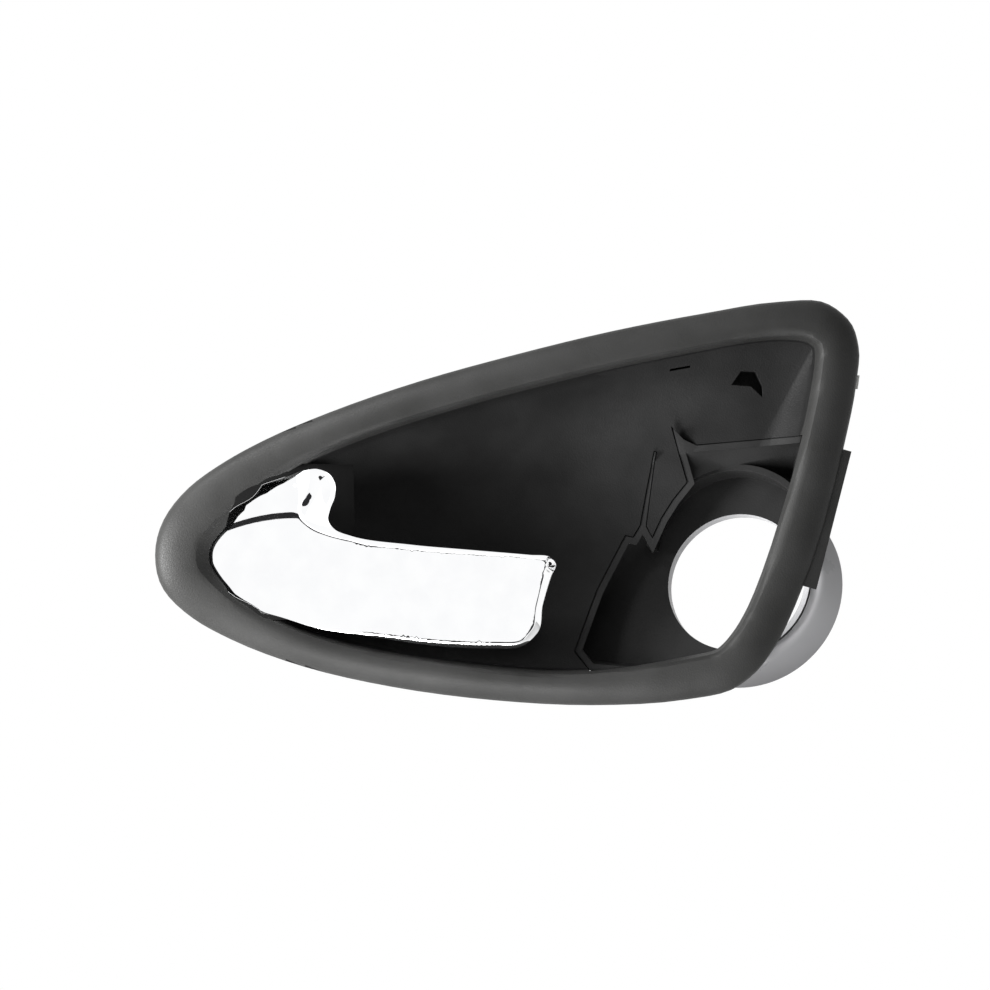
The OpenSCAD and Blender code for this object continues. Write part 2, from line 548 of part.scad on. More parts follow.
// Hinge stack from the lower ear to the upper one, measured from the hinge centre
ear_low = -0.575 * ear_gap;
ear_up = ear_low + ear_gap;
hub_low = ear_low + washer_t + 2 * seat;
hub_up = ear_up - washer_t - 2 * seat;
crank_z = ear_low + washer_t + 2.4 + crank_t / 2;
crank_up = crank_z + crank_t / 2;
coil_low = crank_up + 0.2;
coil_r = hub_r - 0.5;
neck_r = coil_r - wire_d / 2 - 0.25;
barrel_up = hub_up - 1.8;
rest_lean = lever_travel / 2;
CRANK_HALF = 3.5;
CRANK_END_R = 4.2;
NIPPLE_SLOT = 0.9;

module crank_arm() {
    rotate([0, 0, rest_lean]) {
        block(-CRANK_HALF, CRANK_HALF, 0, crank_l, crank_up - crank_t, crank_up);
        post_z(0, crank_l, crank_up - crank_t, crank_up, CRANK_END_R);
    }
}
module lever_hub() {
    color(NYLON) translate([pivot_x, hinge_d, pivot_z]) difference() {
        union() {
            post_z(0, 0, hub_low, crank_up, hub_r);
            post_z(0, 0, hub_low, hub_up, neck_r);
            post_z(0, 0, barrel_up, hub_up, hub_r);
            crank_arm();
            block(0, 10, pad_y - hinge_d, pad_y - hinge_d + pad_t, hub_low + 0.2, pad_top);
            block(hub_r + 2, 33, pad_y - hinge_d, pad_y - hinge_d + pad_t, pad_top - 12, pad_top);
            block(8, 12, wire_d / 2 + 0.1 - coil_r, pad_y - hinge_d + pad_t, pad_top - 0.5,
                coil_low + wire_d + 0.6);
        }
        post_z(0, 0, -30, 30, pin_r + run);
        rotate([0, 0, rest_lean]) post_z(0, crank_l, -20, 10, nipple_r);
        rotate([0, 0, rest_lean]) block(-far, 0, crank_l - NIPPLE_SLOT, crank_l + NIPPLE_SLOT, -20, 10);
        for (p = HUB_SCREWS) post_y(p[0], p[1], -20, 20, screw_r + 0.2);
    }
}

// Bumpers stand on the bracket's shelf, each 0.3 mm from the crank at its end of the travel
bumper_at = 17.5;
bumper_off = CRANK_HALF + bumper_r + fit;
bumper_x = -bumper_at * sin(rest_lean) - bumper_off * cos(rest_lean);
bumper_y = bumper_at * cos(rest_lean) - bumper_off * sin(rest_lean);
PEG_R = 1.2;
// Half width of an ear, and how far one solid runs into the next
EAR_HALF = hub_r;
MERGE = 0.5;
// Shelf of the bumpers: where it begins, and how far it runs past them
SHELF_Y = 11.5;
SHELF_PAST = 3;
// Fork of the sheath: half length along the sheath, half height, and half width of its slot
FORK_HALF = 2;
FORK_UP = 6.8;
FORK_SLOT = 3.2;
CLIP_HALF = 3.6;
slot_x = (bracket_y - hinge_d + bracket_t) * tan(rest_lean) + CRANK_HALF / cos(rest_lean) + 1;
seat_x = -21;
cable_y = crank_l * cos(rest_lean);

module ear(z) {
    post_z(0, 0, z, z + ear_t, EAR_HALF);
    block(-EAR_HALF, EAR_HALF, 0, bracket_y - hinge_d + MERGE, z, z + ear_t);
}
module pivot_bracket() {
    plate_y = bracket_y - hinge_d + seat;
    reach_x = pocket_back + 2;
    color(NYLON) translate([pivot_x, hinge_d, pivot_z]) difference() {
        union() {
            prism(plate_y, plate_y + bracket_t) polygon([[-28.5, -6], [-28.5, 14], [0, 0.5 * lever_h + 7.5],
                [24, 0.5 * lever_h + 7.5], [reach_x, 0.5 * lever_h + 3], [reach_x, -24],
                [16, -0.5 * lever_h - 3.5],
                [0, -0.5 * lever_h - 3.5]]);
            ear(ear_up);
            ear(ear_low - ear_t);
            block(bumper_x - SHELF_PAST, -bumper_x + SHELF_PAST, SHELF_Y, plate_y + MERGE, ear_low - ear_t,
                ear_low);
            for (side = [-1, 1]) post_z(side * bumper_x, bumper_y, ear_low - 1, crank_up, PEG_R);
            // Fork that holds the end of the cable's sheath, with two ribs
            block(seat_x - FORK_HALF, seat_x + FORK_HALF, plate_y + bracket_t - MERGE, cable_y + 4.5,
                crank_z - FORK_UP, crank_z + FORK_UP);
            for (z = [-FORK_UP, FORK_UP - 2]) block(seat_x - FORK_HALF, seat_x + 7,
                plate_y + bracket_t - MERGE, plate_y + 6, crank_z + z, crank_z + z + 2);
        }
        block(-slot_x, slot_x, plate_y - 1, plate_y + 5, crank_up - crank_t - 1, crank_up + 1);
        block(seat_x - 5, seat_x + 5, cable_y - FORK_SLOT, cable_y + 20, crank_z - FORK_SLOT,
            crank_z + FORK_SLOT);
        post_z(0, 0, -30, 30, pin_r + run);
        for (p = HINGE_SCREWS) post_y(p[0] - pivot_x, p[1] - pivot_z, 0, 60, screw_r + 0.2);
    }
}
module pivot_pin() {
    color(ZINC) translate([pivot_x, hinge_d, pivot_z]) difference() {
        union() {
            post_z(0, 0, ear_low - ear_t - 1.6, ear_up + ear_t + 0.5, pin_r);
            post_z(0, 0, ear_up + ear_t + seat, ear_up + ear_t + 1, pin_r + 1.2);
        }
        difference() {
            post_z(0, 0, ear_low - ear_t - 0.8, ear_low - ear_t - 0.1, pin_r + 1);
            post_z(0, 0, ear_low - ear_t - 1, ear_low - ear_t, pin_r - 0.5);
        }
    }
}
module pin_clip() {
    z = ear_low - ear_t;
    color(ZINC) translate([pivot_x, hinge_d, pivot_z]) difference() {
        post_z(0, 0, z - 0.7, z - 0.2, pin_r + 1.9);
        post_z(0, 0, z - 2, z, pin_r - 0.45);
        block(-pin_r * 0.7, pin_r * 0.7, 0, 10, z - 2, z);
    }
}
module hinge_washer(z) {
    color(PALE) translate([pivot_x, hinge_d, pivot_z]) difference() {
        post_z(0, 0, z, z + washer_t, hub_r);
        post_z(0, 0, z - 1, z + 2, pin_r + 0.1);
    }
}
module pivot_washer_lower() { hinge_washer(ear_low + seat); }
module pivot_washer_upper() { hinge_washer(ear_up - seat - washer_t); }

// Torsion spring: a leg on the hub's post, the coil, and a leg back to the bracket
SIDES = 8;
TURN_STEPS = 14;
leg_hub = 12;
leg_back = bracket_y - hinge_d - 0.8;
pitch = (barrel_up - 0.3 - coil_low - wire_d) / turns;
coil_z = coil_low + wire_d / 2;
spring_path = concat(
    [[leg_hub, -coil_r, coil_z], [leg_hub / 2, -coil_r, coil_z]],
    [for (i = [0:turns * TURN_STEPS]) let (a = -90 - 360 * i / TURN_STEPS)
        [coil_r * cos(a), coil_r * sin(a), coil_z + pitch * i / TURN_STEPS]],
    [for (i = [1:3]) let (a = -90 - 30 * i) [coil_r * cos(a), coil_r * sin(a), coil_z + pitch * turns]],
    [[-coil_r, leg_back / 2, coil_z + pitch * turns], [-coil_r, leg_back, coil_z + pitch * turns]]);
function unit(v) = v / norm(v);
function path_dir(p, i) = unit(p[min(i + 1, len(p) - 1)] - p[max(i - 1, 0)]);
function path_ring(p, i, r, n) = let (d = path_dir(p, i), u = unit(cross(d, [0, 0, 1])), v = cross(u, d))
    [for (k = [0:n - 1]) p[i] + r * (cos(360 * k / n) * u + sin(360 * k / n) * v)];
module sweep(p, r, n) {
    m = len(p);
    points = [for (i = [0:m - 1]) each path_ring(p, i, r, n)];
    faces = concat([[for (k = [n - 1:-1:0]) k]],
        [for (i = [0:m - 2]) each band(n, i * n, (i + 1) * n)],
        [[for (k = [0:n - 1]) (m - 1) * n + k]]);
    polyhedron(points, faces);
}
module return_spring() {
    color(ZINC) translate([pivot_x, hinge_d, pivot_z]) sweep(spring_path, wire_d / 2, SIDES);
}

module bumper(side) {
    color(RUBBER) translate([pivot_x + side * bumper_x, hinge_d + bumper_y, pivot_z]) difference() {
        post_z(0, 0, ear_low + seat, crank_up - 0.4, bumper_r);
        post_z(0, 0, ear_low - 1, crank_up + 1, PEG_R + 0.05);
    }
}
module rest_bumper() { bumper(1); }
module travel_bumper() { bumper(-1); }

// Clip in the bracket's fork, with a flange on either side of it
module cable_clip() {
    color(PALE) translate([pivot_x + seat_x, hinge_d + cable_y, pivot_z + crank_z]) difference() {
        union() {
            block(-CLIP_HALF, CLIP_HALF, 0.1 - FORK_SLOT, 4.5, 0.1 - FORK_SLOT, FORK_SLOT - 0.1);
            for (x = [-CLIP_HALF, FORK_HALF + 0.1]) block(x, x + CLIP_HALF - FORK_HALF - 0.1,
                0.1 - FORK_SLOT, 4.5, -4.6, 4.6);
        }
        translate([-10, 0, 0]) rotate([0, 90, 0]) cylinder(r = sheath_r, h = 20, $fn = 48);
        block(-10, 10, 0, 10, -sheath_r * 0.6, sheath_r * 0.6);
    }
}

// Pan-head screw along Y: its head sits on y, and its thread runs to the front
module screw(p, y, l) {
    difference() {
        union() {
            post_y(p[0], p[1], y - l, y + 1, screw_r - seat);
            post_y(p[0], p[1], y + seat, y + 2, head_r);
        }
        for (a = [45, 135]) translate([p[0], y + 2, p[1]]) rotate([0, a, 0])
            block(-1.8, 1.8, -1, 1, -0.35, 0.35);
    }
}
module hub_screw(i) {
    p = HUB_SCREWS[i];
    color(ZINC) screw([pivot_x + p[0], pivot_z + p[1]], pad_y + pad_t, pad_t + HUB_BITE);
}
module bracket_screw(i) { color(ZINC) screw(HINGE_SCREWS[i], bracket_y + seat + bracket_t, 9); }
module cup_screw(i) { color(ZINC) screw(CUP_SCREWS[i], lug_y + 2.4, 9); }

// Barbed clip that is pushed onto a blade behind the ring
module panel_clip(i) {
    color(PALE) at_clip(i) difference() {
        translate([0, 0, -2.3]) linear_extrude(4.6)
            polygon([[-4.6, 1.2], [-4.6, 3.4], [-2, 9.5], [2, 9.5], [4.6, 3.4], [4.6, 1.2]]);
        block(-1.1, 1.1, 0, 7.2, -4, 4);
        for (side = [-1, 1]) translate([side * 2.6, 2.6, -4]) linear_extrude(8)
            polygon([[-0.9, -3], [0.9, -3], [0, 3.6]]);
    }
}

housing();
speaker_cup();
lever();
lever_hub();
pivot_bracket();
pivot_pin();
pin_clip();
pivot_washer_lower();
pivot_washer_upper();
return_spring();
rest_bumper();
travel_bumper();
cable_clip();
hub_screw(0);  // hub_screw_1
hub_screw(1);  // hub_screw_2
bracket_screw(0);  // bracket_screw_1
bracket_screw(1);  // bracket_screw_2
bracket_screw(2);  // bracket_screw_3
cup_screw(0);  // cup_screw_1
cup_screw(1);  // cup_screw_2
cup_screw(2);  // cup_screw_3
panel_clip(0);  // panel_clip_1
panel_clip(1);  // panel_clip_2
panel_clip(2);  // panel_clip_3
panel_clip(3);  // panel_clip_4
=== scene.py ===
"""Car interior door handle: materials, soft studio light and the photograph's view."""
import json
import math

import bpy
import numpy as np
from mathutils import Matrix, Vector
from mathutils.geometry import delaunay_2d_cdt

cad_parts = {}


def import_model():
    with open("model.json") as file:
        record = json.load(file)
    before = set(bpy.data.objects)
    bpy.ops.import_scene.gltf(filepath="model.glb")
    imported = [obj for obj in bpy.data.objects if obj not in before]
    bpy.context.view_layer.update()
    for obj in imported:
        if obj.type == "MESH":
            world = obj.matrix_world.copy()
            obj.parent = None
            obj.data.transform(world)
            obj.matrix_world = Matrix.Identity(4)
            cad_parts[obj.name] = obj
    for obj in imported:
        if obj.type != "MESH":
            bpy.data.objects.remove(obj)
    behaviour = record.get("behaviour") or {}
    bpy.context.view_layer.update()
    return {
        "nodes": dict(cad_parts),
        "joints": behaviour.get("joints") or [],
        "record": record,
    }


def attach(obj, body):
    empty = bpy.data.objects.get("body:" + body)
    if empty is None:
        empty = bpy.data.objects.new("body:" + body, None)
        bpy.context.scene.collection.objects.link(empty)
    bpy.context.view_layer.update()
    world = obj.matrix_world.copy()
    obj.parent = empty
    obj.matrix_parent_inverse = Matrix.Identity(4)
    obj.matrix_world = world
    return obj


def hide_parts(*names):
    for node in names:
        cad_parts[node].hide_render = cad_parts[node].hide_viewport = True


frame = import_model()
nodes = frame["nodes"]

MM = 0.001
SAME_PLACE = 0.002 * MM
SMOOTH_LIMIT = math.radians(38)
TINY = 1e-9


def smooth_by_angle(obj, limit=SMOOTH_LIMIT):
    """Averages the normals of faces that meet at a point within the limit, and keeps sharper edges."""
    mesh = obj.data
    count = len(mesh.loops)
    where = np.empty(count, np.int64)
    mesh.loops.foreach_get("vertex_index", where)
    points = np.empty(len(mesh.vertices) * 3)
    mesh.vertices.foreach_get("co", points)
    keys = np.round(points.reshape(-1, 3) / SAME_PLACE).astype(np.int64)
    _, shared = np.unique(keys, axis=0, return_inverse=True)
    corner = shared.ravel()[where]
    face_of = np.empty(count, np.int64)
    weight = np.empty(count)
    normals = np.empty((len(mesh.polygons), 3))
    for face in mesh.polygons:
        normals[face.index] = face.normal
        places = [mesh.vertices[i].co for i in face.vertices]
        for k, loop in enumerate(face.loop_indices):
            before = places[k - 1] - places[k]
            after = places[(k + 1) % len(places)] - places[k]
            face_of[loop] = face.index
            weight[loop] = before.angle(after, 0.0)
    order = np.argsort(corner, kind="stable")
    starts = np.flatnonzero(np.r_[True, np.diff(corner[order]) > 0])
    result = np.empty((count, 3))
    for group in np.split(order, starts[1:]):
        normal = normals[face_of[group]]
        near = (normal @ normal.T) > math.cos(limit)
        total = (near * weight[group][None, :]) @ normal
        length = np.linalg.norm(total, axis=1, keepdims=True)
        result[group] = np.where(length > TINY, total / np.maximum(length, TINY), normal)
    for face in mesh.polygons:
        face.use_smooth = True
    mesh.normals_split_custom_set(result.tolist())


# Materials: texture scales are in cells a metre, depths and radii in metres
EDGE_RADIUS = 0.25 * MM
EDGE_SAMPLES = 6
GRAIN_CELLS = 1900
GRAIN_DEPTH = 0.12 * MM
GRAIN_CLOUDS = 55
FINE_GRAIN = 2600
FINE_DEPTH = 0.06 * MM
FINE_SHARE = 0.6
GRAIN_ROUGH = (-0.07, 0.09)
HAZE = 140
HAZE_ROUGH = (0.02, 0.035)
PEEL = 320
PEEL_DEPTH = 0.02 * MM
PEEL_STRENGTH = 0.02
SMOOTH_GRAIN = 2400
SMOOTH_DEPTH = 0.05 * MM
SMOOTH_ROUGH = (-0.05, 0.07)
# Painted reflection on the speaker cup: its clouds, relief, roughness, and the heights over which it
# goes from dark to pale
GREY_CLOUDS = 60
GREY_DEPTH = 0.2 * MM
GREY_STRENGTH = 0.1
GREY_ROUGH = (0.26, 0.38)
GREY_LOW = -4 * MM
GREY_HIGH = 36 * MM


def new_material(name):
    """A material with its node tree and its shader."""
    material = bpy.data.materials.new(name)
    material.use_nodes = True
    tree = material.node_tree
    return material, tree, tree.nodes["Principled BSDF"]


def noise(tree, scale, detail, roughness=0.5):
    """The value of a noise texture fixed to the object."""
    coords = tree.nodes.new("ShaderNodeTexCoord")
    node = tree.nodes.new("ShaderNodeTexNoise")
    node.inputs["Scale"].default_value = scale
    node.inputs["Detail"].default_value = detail
    node.inputs["Roughness"].default_value = roughness
    tree.links.new(coords.outputs["Object"], node.inputs["Vector"])
    return node.outputs["Fac"]


def value_ramp(tree, source, low, high, start=0.35, end=0.65):
    """Maps a texture's value between two numbers."""
    node = tree.nodes.new("ShaderNodeMapRange")
    node.inputs["From Min"].default_value = start
    node.inputs["From Max"].default_value = end
    node.inputs["To Min"].default_value = low
    node.inputs["To Max"].default_value = high
    tree.links.new(source, node.inputs["Value"])
    return node.outputs["Result"]


def colour_ramp(tree, source, low, high, start=0.35, end=0.65):
    """Maps a texture's value between two colours."""
    node = tree.nodes.new("ShaderNodeValToRGB")
    for element, position, colour in zip(node.color_ramp.elements, (start, end), (low, high)):
        element.position = position
        element.color = (*colour, 1)
    tree.links.new(source, node.inputs["Fac"])
    return node.outputs["Color"]


def rounded_edges(tree):
    """Normals as if every edge had a small radius, as a moulding's edges have."""
    node = tree.nodes.new("ShaderNodeBevel")
    node.samples = EDGE_SAMPLES
    node.inputs["Radius"].default_value = EDGE_RADIUS
    return node


def bump(tree, shader, source, strength, distance, under=None):
    """Relief from a texture's value, on top of another relief where one is given."""
    node = tree.nodes.new("ShaderNodeBump")
    node.inputs["Strength"].default_value = strength
    node.inputs["Distance"].default_value = distance
    tree.links.new(source, node.inputs["Height"])
    if under is not None:
        tree.links.new(under.outputs["Normal"], node.inputs["Normal"])
    tree.links.new(node.outputs["Normal"], shader.inputs["Normal"])
    return node


def grained_plastic(name, dark, light, rough, specular, grain):
    """Moulded black plastic with an even leather-like grain."""
    material, tree, shader = new_material(name)
    shader.inputs["Specular IOR Level"].default_value = specular
    cells = tree.nodes.new("ShaderNodeTexVoronoi")
    cells.inputs["Scale"].default_value = GRAIN_CELLS
    coords = tree.nodes.new("ShaderNodeTexCoord")
    tree.links.new(coords.outputs["Object"], cells.inputs["Vector"])
    cloud = noise(tree, GRAIN_CLOUDS, detail=3)
    fine = noise(tree, FINE_GRAIN, detail=2)
    tree.links.new(colour_ramp(tree, cloud, dark, light), shader.inputs["Base Color"])
    low, high = (rough + part for part in GRAIN_ROUGH)
    tree.links.new(value_ramp(tree, fine, low, high), shader.inputs["Roughness"])
    under = bump(tree, shader, cells.outputs["Distance"], grain, GRAIN_DEPTH, rounded_edges(tree))
    bump(tree, shader, fine, grain * FINE_SHARE, FINE_DEPTH, under)
    return material


def chrome_finish(name, dark, light):
    """Chrome plating over plastic, bright with the faintest haze and orange peel."""
    material, tree, shader = new_material(name)
    shader.inputs["Metallic"].default_value = 1.0
    haze = noise(tree, HAZE, detail=3)
    peel = noise(tree, PEEL, detail=1)
    tree.links.new(colour_ramp(tree, haze, dark, light), shader.inputs["Base Color"])
    tree.links.new(value_ramp(tree, haze, *HAZE_ROUGH), shader.inputs["Roughness"])
    bump(tree, shader, peel, PEEL_STRENGTH, PEEL_DEPTH)
    return material


def plain_finish(name, dark, light, rough, scale, grain, metallic=0.0, specular=0.5):
    """Smooth nylon, rubber or plated steel with slight unevenness."""
    material, tree, shader = new_material(name)
    shader.inputs["Metallic"].default_value = metallic
    shader.inputs["Specular IOR Level"].default_value = specular
    cloud = noise(tree, scale, detail=4, roughness=0.6)
    fine = noise(tree, SMOOTH_GRAIN, detail=2)
    tree.links.new(colour_ramp(tree, cloud, dark, light), shader.inputs["Base Color"])
    low, high = (rough + part for part in SMOOTH_ROUGH)
    tree.links.new(value_ramp(tree, cloud, low, high), shader.inputs["Roughness"])
    bump(tree, shader, fine, grain, SMOOTH_DEPTH)
    return material


def painted_reflection_finish(name, dark, light):
    """Smooth plastic with a painted reflection: a pale grey base colour that gets paler towards its
    upper edge.
    """
    material, tree, shader = new_material(name)
    coords = tree.nodes.new("ShaderNodeTexCoord")
    split = tree.nodes.new("ShaderNodeSeparateXYZ")
    tree.links.new(coords.outputs["Object"], split.inputs["Vector"])
    share = value_ramp(tree, split.outputs["Z"], 0.0, 1.0, GREY_LOW, GREY_HIGH)
    tree.links.new(colour_ramp(tree, share, dark, light, 0.0, 1.0), shader.inputs["Base Color"])
    cloud = noise(tree, GREY_CLOUDS, detail=4, roughness=0.6)
    tree.links.new(value_ramp(tree, cloud, *GREY_ROUGH), shader.inputs["Roughness"])
    bump(tree, shader, cloud, GREY_STRENGTH, GREY_DEPTH)
    return material


def dress(obj, *materials):
    """Gives a piece its materials, with the first on every face."""
    obj.data.materials.clear()
    for material in materials:
        obj.data.materials.append(material)
    for face in obj.data.polygons:
        face.material_index = 0


ring_black = grained_plastic("black_grained_plastic", dark=(0.017, 0.017, 0.0165),
                             light=(0.024, 0.024, 0.0235), rough=0.5, specular=0.16, grain=0.35)
# The ring's black plastic painted darker in the bowl: painted shade of the recess
bowl_painted_shade = grained_plastic("black_grained_plastic_bowl_painted_shade", dark=(0.006, 0.006, 0.006),
                             light=(0.010, 0.010, 0.010), rough=0.55, specular=0.1, grain=0.4)
# The ring's black plastic painted darker on the speaker cup: painted shade of the deep recess
cup_painted_shade = grained_plastic("black_grained_plastic_cup_painted_shade", dark=(0.010, 0.010, 0.010),
                            light=(0.015, 0.015, 0.015), rough=0.55, specular=0.12, grain=0.3)
# Near-black without edge highlights for the hinge pocket: painted shade
pocket_painted_shade = plain_finish("matt_black_painted_shade", dark=(0.004, 0.004, 0.004), light=(0.007, 0.007, 0.007),
                            rough=0.8, scale=90, grain=0.1, specular=0.1)
# Pale grey, paler towards the top: a painted reflection of the bright surroundings on the speaker cup's
# black plastic
painted_reflection_grey = painted_reflection_finish("painted_reflection_grey_plastic", dark=(0.04, 0.04, 0.042), light=(0.42, 0.42, 0.43))
chrome = chrome_finish("chrome_plating", dark=(0.955, 0.96, 0.97), light=(0.985, 0.99, 0.995))
black_nylon = plain_finish("black_nylon", dark=(0.014, 0.014, 0.015), light=(0.022, 0.022, 0.024),
                           rough=0.42, scale=90, grain=0.15)
pale_nylon = plain_finish("pale_nylon", dark=(0.52, 0.52, 0.5), light=(0.62, 0.62, 0.6),
                          rough=0.38, scale=90, grain=0.1)
steel = plain_finish("zinc_plated_steel", dark=(0.5, 0.51, 0.53), light=(0.66, 0.67, 0.68),
                     rough=0.3, scale=160, grain=0.12, metallic=1.0)
rubber = plain_finish("black_rubber", dark=(0.012, 0.012, 0.012), light=(0.02, 0.02, 0.02),
                      rough=0.75, scale=120, grain=0.3)

FINISH = {"grained_plastic": ring_black, "chrome": chrome, "black_nylon": black_nylon,
          "pale_nylon": pale_nylon, "steel": steel, "rubber": rubber}
slot_of = {part["node"]: part["material_slot"] for part in frame["record"]["subparts"]}
for name, obj in nodes.items():
    dress(obj, FINISH[slot_of[name]])
    smooth_by_angle(obj)

# Speaker cup: its flare and the wall of its hole are left smooth and painted pale grey, a painted
# reflection of the bright surroundings on its black plastic.
# The plate carries the same painted reflection where it shows past the ring, on the outer side of a line
# up the tail.
mounts = {mount["name"]: mount for mount in frame["record"]["mounts"]}
bore = mounts["speaker_hole"]
HOLE_AXIS = -Vector(bore["axis"])
HOLE = Vector(bore["pos_m"]) + HOLE_AXIS * bore["dims"]["length_mm"] * MM
HOLE_RADIUS = bore["dims"]["r_mm"] * MM
HOLE_EDGE = HOLE_RADIUS - 0.4 * MM
HOLE_WALL = HOLE_RADIUS + 0.5 * MM
FACES_HOLE = 0.7
FACES_FRONT = 0.3
CONE_INNER = 27.9 * MM
CONE_OUTER = 35.4 * MM
CONE_FRONT = -3.3 * MM
PLATE_TOP = 50 * MM
RING_TOP = (92.2 * MM, 61.5 * MM)
RING_LOW = (62.0 * MM, -2.0 * MM)


def past_ring(place):
    """Whether a place lies on the outer side of the line from RING_LOW up to RING_TOP."""
    return ((place.x - RING_LOW[0]) * (RING_TOP[1] - RING_LOW[1])
            > (place.z - RING_LOW[1]) * (RING_TOP[0] - RING_LOW[0]))


def paint_cone(cup):
    """Paints the painted reflection on the flare, the wall of the hole, and the plate past the ring."""
    for face in cup.data.polygons:
        away = face.center - HOLE
        depth = away.dot(HOLE_AXIS)
        radial = away - HOLE_AXIS * depth
        flare = CONE_INNER < radial.length < CONE_OUTER and depth < CONE_FRONT
        wall = radial.length < HOLE_WALL and radial.normalized().dot(face.normal) < -FACES_HOLE
        plate = radial.length > HOLE_EDGE and face.normal.dot(HOLE_AXIS) > FACES_FRONT
        shown = face.center.z < PLATE_TOP and past_ring(face.center)
        if flare or wall or (plate and shown):
            face.material_index = 1


# The rest of the cup keeps the darker black, painted shade
dress(nodes["speaker_cup"], cup_painted_shade, painted_reflection_grey)
paint_cone(nodes["speaker_cup"])

# Surround: the bowl is painted darker than the ring, painted shade of the recess, and the hinge pocket
# and the walls of its cut through the lip are matt and painted darker still, as painted shade
HINGE = Vector(frame["joints"][0]["pos_m"])
BOWL_FROM = 1.2 * MM
POCKET = 20.5 * MM
POCKET_FROM = -3.5 * MM
CUT = 26 * MM
CUT_TURN = -0.25


def paint_bowl(surround):
    """Paints shade: the bowl darker, and what faces the hinge pin inside the pocket and its cut darker
    still.
    """
    for face in surround.data.polygons:
        away = Vector((HINGE.x - face.center.x, HINGE.y - face.center.y, 0))
        inward = away.dot(face.normal) > 0
        pocket = away.length < POCKET and face.center.y > POCKET_FROM
        cut_wall = away.length < CUT and face.normal.y > CUT_TURN
        if inward and (pocket or cut_wall):
            face.material_index = 2
        elif face.center.y > BOWL_FROM:
            face.material_index = 1


dress(nodes["housing"], ring_black, bowl_painted_shade, pocket_painted_shade)
paint_bowl(nodes["housing"])
# The pivot bracket inside the pocket gets the same matt painted shade in place of its black nylon
dress(nodes["pivot_bracket"], pocket_painted_shade)

# Chromed lever: a fine skin over the same outline and face as the CAD lever, in millimetres from
# the hinge. In its outline, across is a share of the reach, or of the nose where it is negative,
# and up is a share of the height. Then come the slope and the width of the bevel there.
REACH = 98.1
NOSE = 18.8
HEIGHT = 59.98
OUTLINE = [
    (-1.00, -0.012, 0.3, 0.3), (-0.90, 0.110, 0.3, 0.3), (-0.56, 0.250, 0.3, 0.3),
    (-0.084, 0.358, 0.3, 0.3), (0.071, 0.437, 0.3, 0.3), (0.142, 0.478, 0.3, 0.4),
    (0.183, 0.488, 0.4, 0.5), (0.221, 0.468, 0.5, 0.6), (0.246, 0.417, 0.6, 0.7),
    (0.249, 0.333, 0.6, 0.7), (0.233, 0.257, 0.6, 0.7), (0.228, 0.200, 0.6, 0.8),
    (0.255, 0.145, 0.6, 1.0), (0.305, 0.115, 0.6, 1.5), (0.506, 0.067, 0.6, 1.5),
    (0.708, 0.038, 0.6, 1.35), (0.912, 0.010, 0.7, 1.1), (0.978, 0.000, 0.9, 1.8),
    (1.000, -0.040, 1.0, 3.0), (0.984, -0.112, 0.7, 2.3), (0.955, -0.278, 0.6, 1.8),
    (0.937, -0.428, 0.6, 2.2), (0.880, -0.503, 0.9, 1.5), (0.783, -0.512, 1.2, 1.5),
    (0.575, -0.495, 1.2, 1.4), (0.402, -0.453, 1.0, 0.9), (0.194, -0.403, 0.6, 0.4),
    (0.046, -0.332, 0.3, 0.3), (-0.56, -0.207, 0.3, 0.3), (-0.90, -0.108, 0.3, 0.3)]
EDGE_SOFT = 0.3

# The horn is scooped out above one crease and right of another. Each point has its place across
# and up, and the slope and softness of the scoop there.
BROW = [
    (38.5, 3.9, 0.0, 0.35), (32.8, 4.9, 0.4, 0.35), (26.7, 6.0, 0.6, 0.35), (21.3, 7.6, 0.8, 0.35),
    (17.2, 9.4, 0.9, 0.35), (14.0, 11.6, 0.9, 0.35), (11.4, 14.2, 0.9, 0.35), (5.0, 20.6, 0.9, 0.35)]
CHEEK = [
    (12.2, 4.0, 0.6, 0.5), (12.3, 9.0, 0.6, 0.5), (12.5, 13.0, 0.6, 0.6), (13.1, 16.2, 0.6, 0.8),
    (14.4, 19.2, 0.58, 1.2), (15.6, 22.0, 0.54, 1.8), (16.4, 26.0, 0.5, 2.4), (16.8, 32.0, 0.5, 2.4)]
SCOOP = 1.3
SCOOP_FALL = 0.22
BLEND = 0.16

# The pull's face stands proud of the hinge, bows along the lever, drops at its tip and falls away
# above the nose's ridge, whose height is a parabola across
PROUD = 7.6
FACE_MID = 0.435 * REACH
NOSE_FALL = 0.1
NOSE_SOFT = 20
TIP_DROP = 1.35
BOW_RADIUS = 400
BOW_Z = HEIGHT / 6
RIDGE = (12.85, 0.2132, -0.00906)
RIDGE_END = 12
RIDGE_FALL = 0.12
RIDGE_SOFT = 1.7

# Points of the mesh: lines inside the edge and beside the creases, then an even grid
EDGE_STEPS = 12
BROW_STEPS = 12
CHEEK_STEPS = 10
EDGE_GAPS = (0.45, 0.75, 1.1, 1.5, 1.9, 2.4)
GAP_SLACK = 0.02
CREASE_GAPS = (-0.6, -0.3, -0.1, 0.1, 0.3, 0.6)
BROW_STRETCH = slice(0, 68)
CHEEK_STRETCH = slice(21, 50)
ROW_HEIGHT = 0.866
GRID_APART = 0.6
FRONT_BORDER = 0.2
FRONT_SPACING = 0.8
FRONT_MARGIN = 0.15
BACK_SPACING = 2.5
BACK_MARGIN = 0.4
SAME_POINT = 1e-5
SLOPE_STEP = 0.02
SKIN_SMOOTH_LIMIT = math.radians(35)

